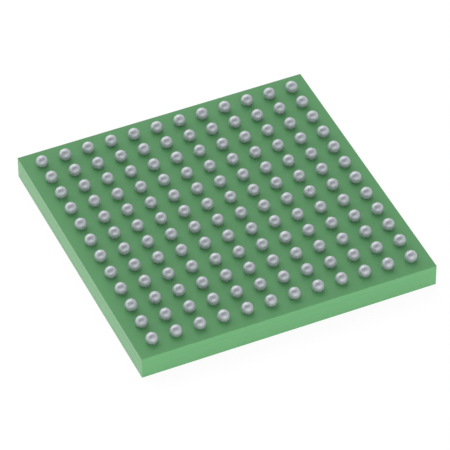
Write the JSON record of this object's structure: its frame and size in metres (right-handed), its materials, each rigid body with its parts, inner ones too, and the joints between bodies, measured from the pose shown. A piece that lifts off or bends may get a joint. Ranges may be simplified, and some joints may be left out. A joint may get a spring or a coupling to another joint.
{
  "type": "ball grid array chip package",
  "caption": "Square electronic chip package with a full grid of solder balls on one face, for soldering to a circuit board.",
  "frame": {"origin": "centre of the flat filled face that the chip lies on", "axes": "+Z out of the ball face, the thinnest direction; +X and +Y along the body's sides, with ball A1 at -X, +Y"},
  "size_m": [0.01, 0.01, 0.0011],
  "materials": {
    "solder_resist": "satin green",
    "laminate": "cut edge, satin green",
    "bond_film": "cut edge, satin green",
    "copper": "etched copper",
    "gold_plate": "satin gold plating",
    "gold_wire": "drawn gold wire",
    "solder": "reflowed tin solder, satin",
    "silicon": "polished silicon",
    "die_attach": "cured film",
    "epoxy": "fine matte black epoxy"
  },
  "bodies": {
    "root": {"outer_resist": "solder_resist", "ball_pads": "copper", "core_laminate": "laminate", "vias": "copper", "signal_traces": "copper", "die_paddle": "copper", "inner_resist": "solder_resist", "bond_film": "bond_film", "frame_laminate": "laminate", "frame_resist": "solder_resist", "first_ball_mark": "gold_plate", "die_attach": "die_attach", "die": "silicon", "bond_wires_front": "gold_wire", "bond_wires_right": "gold_wire", "bond_wires_back": "gold_wire", "bond_wires_left": "gold_wire", "encapsulant": "epoxy", "ball_row_a": "solder", "ball_row_b": "solder", "ball_row_c": "solder", "ball_row_d": "solder", "ball_row_e": "solder", "ball_row_f": "solder", "ball_row_g": "solder", "ball_row_h": "solder", "ball_row_j": "solder", "ball_row_k": "solder", "ball_row_l": "solder", "ball_row_m": "solder"}
  },
  "joints": []
}
